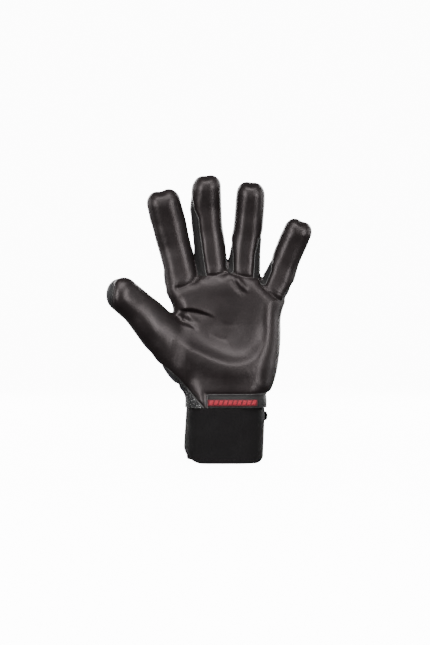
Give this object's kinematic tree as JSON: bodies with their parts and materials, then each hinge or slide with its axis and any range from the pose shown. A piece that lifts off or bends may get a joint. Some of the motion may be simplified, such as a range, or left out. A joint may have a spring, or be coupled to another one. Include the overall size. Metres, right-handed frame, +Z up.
{
  "type": "goalkeeper glove",
  "caption": "Black padded goalkeeper glove for the left hand, fingers spread, standing on its wide elastic wrist strap; every finger bends and the strap peels open.",
  "frame": {"origin": "centre of the wrist opening, on the plane of the cuff's lower edge, on which the glove stands", "axes": "+Z up along the middle finger, +X towards the little finger, +Y out of the back of the hand (the palm faces -Y)"},
  "size_m": [0.1924, 0.0773, 0.2727],
  "materials": {
    "latex_foam": "satin smooth latex foam",
    "padded_fabric": "matt padded fabric",
    "embossed_foam": "matt quilted foam",
    "stretch_gusset": "fine matt stretch knit",
    "air_mesh": "open speckled mesh",
    "lining": "brushed knit",
    "knit_rib": "ribbed knit",
    "elastic_webbing": "fine woven elastic",
    "woven_trim": "woven trim",
    "loop_pile": "loop pile",
    "hook_tape": "moulded hooks",
    "binding": "folded binding tape",
    "moulded_rubber": "ribbed moulded rubber"
  },
  "bodies": {
    "cuff": {"cuff_sleeve": "knit_rib", "wrist_strap": "elastic_webbing", "accent_band": "woven_trim", "loop_patch": "loop_pile", "cuff_hem": "binding", "wrist_fold": "latex_foam"},
    "hand": {"palm_latex": "latex_foam", "backhand": "padded_fabric", "back_pad": "embossed_foam", "palm_lining": "lining", "side_mesh": "air_mesh"},
    "closing_tab": {"strap_tab": "elastic_webbing", "hook_patch": "hook_tape", "pull_tab": "moulded_rubber"},
    "index_base": {"index_base_fold": "latex_foam"},
    "index_proximal": {"index_front_proximal": "latex_foam", "index_back_proximal": "padded_fabric", "index_gussets": "stretch_gusset", "index_pip_fold": "latex_foam"},
    "index_middle": {"index_front_middle": "latex_foam", "index_back_middle": "padded_fabric", "index_dip_fold": "latex_foam"},
    "index_distal": {"index_front_distal": "latex_foam", "index_back_distal": "padded_fabric"},
    "middle_base": {"middle_base_fold": "latex_foam"},
    "middle_proximal": {"middle_front_proximal": "latex_foam", "middle_back_proximal": "padded_fabric", "middle_gussets": "stretch_gusset", "middle_pip_fold": "latex_foam"},
    "middle_middle": {"middle_front_middle": "latex_foam", "middle_back_middle": "padded_fabric", "middle_dip_fold": "latex_foam"},
    "middle_distal": {"middle_front_distal": "latex_foam", "middle_back_distal": "padded_fabric"},
    "ring_base": {"ring_base_fold": "latex_foam"},
    "ring_proximal": {"ring_front_proximal": "latex_foam", "ring_back_proximal": "padded_fabric", "ring_gussets": "stretch_gusset", "ring_pip_fold": "latex_foam"},
    "ring_middle": {"ring_front_middle": "latex_foam", "ring_back_middle": "padded_fabric", "ring_dip_fold": "latex_foam"},
    "ring_distal": {"ring_front_distal": "latex_foam", "ring_back_distal": "padded_fabric"},
    "little_base": {"little_base_fold": "latex_foam"},
    "little_proximal": {"little_front_proximal": "latex_foam", "little_back_proximal": "padded_fabric", "little_gussets": "stretch_gusset", "little_pip_fold": "latex_foam"},
    "little_middle": {"little_front_middle": "latex_foam", "little_back_middle": "padded_fabric", "little_dip_fold": "latex_foam"},
    "little_distal": {"little_front_distal": "latex_foam", "little_back_distal": "padded_fabric"},
    "thumb_base": {"thumb_base_fold": "latex_foam"},
    "thumb_proximal": {"thumb_front_proximal": "latex_foam", "thumb_back_proximal": "padded_fabric", "thumb_ip_fold": "latex_foam"},
    "thumb_distal": {"thumb_front_distal": "latex_foam", "thumb_back_distal": "padded_fabric"}
  },
  "joints": [
    {"name": "wrist_bend", "type": "hinge", "parent": "cuff", "child": "hand", "pos_m": [0, 0, 0.064], "axis": [1, 0, 0], "range_deg": [-30, 35], "stiffness_Nm_per_rad": 1.5, "deforming": ["wrist_fold"]},
    {"name": "tab_peel", "type": "hinge", "parent": "cuff", "child": "closing_tab", "pos_m": [-0.0306, 0.0262, 0.03], "axis": [0, 0, 1], "range_deg": [0, 150]},
    {"name": "index_spread", "type": "hinge", "parent": "hand", "child": "index_base", "pos_m": [-0.03945, 0, 0.17574], "axis": [0, 1, 0], "range_deg": [-6, 5], "stiffness_Nm_per_rad": 0.4, "deforming": ["index_base_fold"]},
    {"name": "index_knuckle", "type": "hinge", "parent": "index_base", "child": "index_proximal", "pos_m": [-0.03945, 0, 0.17574], "axis": [0.9936, 0, 0.1132], "range_deg": [0, 60], "stiffness_Nm_per_rad": 0.15, "deforming": ["index_base_fold"]},
    {"name": "index_middle_joint", "type": "hinge", "parent": "index_proximal", "child": "index_middle", "pos_m": [-0.04619, -0.00208, 0.2049], "axis": [0.9936, 0, 0.1132], "range_deg": [0, 70], "stiffness_Nm_per_rad": 0.1, "deforming": ["index_pip_fold"]},
    {"name": "index_end_joint", "type": "hinge", "parent": "index_middle", "child": "index_distal", "pos_m": [-0.05198, -0.00745, 0.22967], "axis": [0.9936, 0, 0.1132], "range_deg": [0, 42], "stiffness_Nm_per_rad": 0.06, "deforming": ["index_dip_fold"]},
    {"name": "middle_spread", "type": "hinge", "parent": "hand", "child": "middle_base", "pos_m": [-0.01014, 0, 0.18594], "axis": [0, 1, 0], "range_deg": [-4, 4], "stiffness_Nm_per_rad": 0.4, "deforming": ["middle_base_fold"]},
    {"name": "middle_knuckle", "type": "hinge", "parent": "middle_base", "child": "middle_proximal", "pos_m": [-0.01014, 0, 0.18594], "axis": [0.9986, 0, 0.0523], "range_deg": [0, 60], "stiffness_Nm_per_rad": 0.15, "deforming": ["middle_base_fold"]},
    {"name": "middle_middle_joint", "type": "hinge", "parent": "middle_proximal", "child": "middle_middle", "pos_m": [-0.01349, -0.00223, 0.21769], "axis": [0.9986, 0, 0.0523], "range_deg": [0, 70], "stiffness_Nm_per_rad": 0.1, "deforming": ["middle_pip_fold"]},
    {"name": "middle_end_joint", "type": "hinge", "parent": "middle_middle", "child": "middle_distal", "pos_m": [-0.01617, -0.00763, 0.24298], "axis": [0.9986, 0, 0.0523], "range_deg": [0, 42], "stiffness_Nm_per_rad": 0.06, "deforming": ["middle_dip_fold"]},
    {"name": "ring_spread", "type": "hinge", "parent": "hand", "child": "ring_base", "pos_m": [0.02075, 0, 0.18497], "axis": [0, -1, 0], "range_deg": [-5, 4], "stiffness_Nm_per_rad": 0.4, "deforming": ["ring_base_fold"]},
    {"name": "ring_knuckle", "type": "hinge", "parent": "ring_base", "child": "ring_proximal", "pos_m": [0.02075, 0, 0.18497], "axis": [0.9993, 0, -0.0375], "range_deg": [0, 60], "stiffness_Nm_per_rad": 0.15, "deforming": ["ring_base_fold"]},
    {"name": "ring_middle_joint", "type": "hinge", "parent": "ring_proximal", "child": "ring_middle", "pos_m": [0.02292, -0.00202, 0.21382], "axis": [0.9993, 0, -0.0375], "range_deg": [0, 70], "stiffness_Nm_per_rad": 0.1, "deforming": ["ring_pip_fold"]},
    {"name": "ring_end_joint", "type": "hinge", "parent": "ring_middle", "child": "ring_distal", "pos_m": [0.02478, -0.00722, 0.2382], "axis": [0.9993, 0, -0.0375], "range_deg": [0, 42], "stiffness_Nm_per_rad": 0.06, "deforming": ["ring_dip_fold"]},
    {"name": "little_spread", "type": "hinge", "parent": "hand", "child": "little_base", "pos_m": [0.04994, 0, 0.16581], "axis": [0, -1, 0], "range_deg": [-6, 7], "stiffness_Nm_per_rad": 0.4, "deforming": ["little_base_fold"]},
    {"name": "little_knuckle", "type": "hinge", "parent": "little_base", "child": "little_proximal", "pos_m": [0.04994, 0, 0.16581], "axis": [0.9808, 0, -0.1951], "range_deg": [0, 60], "stiffness_Nm_per_rad": 0.15, "deforming": ["little_base_fold"]},
    {"name": "little_middle_joint", "type": "hinge", "parent": "little_proximal", "child": "little_middle", "pos_m": [0.05874, -0.00157, 0.18701], "axis": [0.9808, 0, -0.1951], "range_deg": [0, 70], "stiffness_Nm_per_rad": 0.1, "deforming": ["little_pip_fold"]},
    {"name": "little_end_joint", "type": "hinge", "parent": "little_middle", "child": "little_distal", "pos_m": [0.06668, -0.00586, 0.20597], "axis": [0.9808, 0, -0.1951], "range_deg": [0, 42], "stiffness_Nm_per_rad": 0.06, "deforming": ["little_dip_fold"]},
    {"name": "thumb_swing", "type": "hinge", "parent": "hand", "child": "thumb_base", "pos_m": [-0.0611, -0.01107, 0.12861], "axis": [0.4741, -0.8748, 0.0993], "range_deg": [-8, 8], "stiffness_Nm_per_rad": 0.4, "deforming": ["thumb_base_fold"]},
    {"name": "thumb_knuckle", "type": "hinge", "parent": "thumb_base", "child": "thumb_proximal", "pos_m": [-0.0611, -0.01107, 0.12861], "axis": [0.5135, 0.3664, 0.7759], "range_deg": [0, 20], "stiffness_Nm_per_rad": 0.2, "deforming": ["thumb_base_fold"]},
    {"name": "thumb_end_joint", "type": "hinge", "parent": "thumb_proximal", "child": "thumb_distal", "pos_m": [-0.08256, -0.02058, 0.1473], "axis": [0.5135, 0.3664, 0.7759], "range_deg": [0, 30], "stiffness_Nm_per_rad": 0.12, "deforming": ["thumb_ip_fold"]}
  ],
  "couplings": [
    {"joint": "index_end_joint", "follows": "index_middle_joint", "ratio": 0.6},
    {"joint": "middle_end_joint", "follows": "middle_middle_joint", "ratio": 0.6},
    {"joint": "ring_end_joint", "follows": "ring_middle_joint", "ratio": 0.6},
    {"joint": "little_end_joint", "follows": "little_middle_joint", "ratio": 0.6}
  ]
}
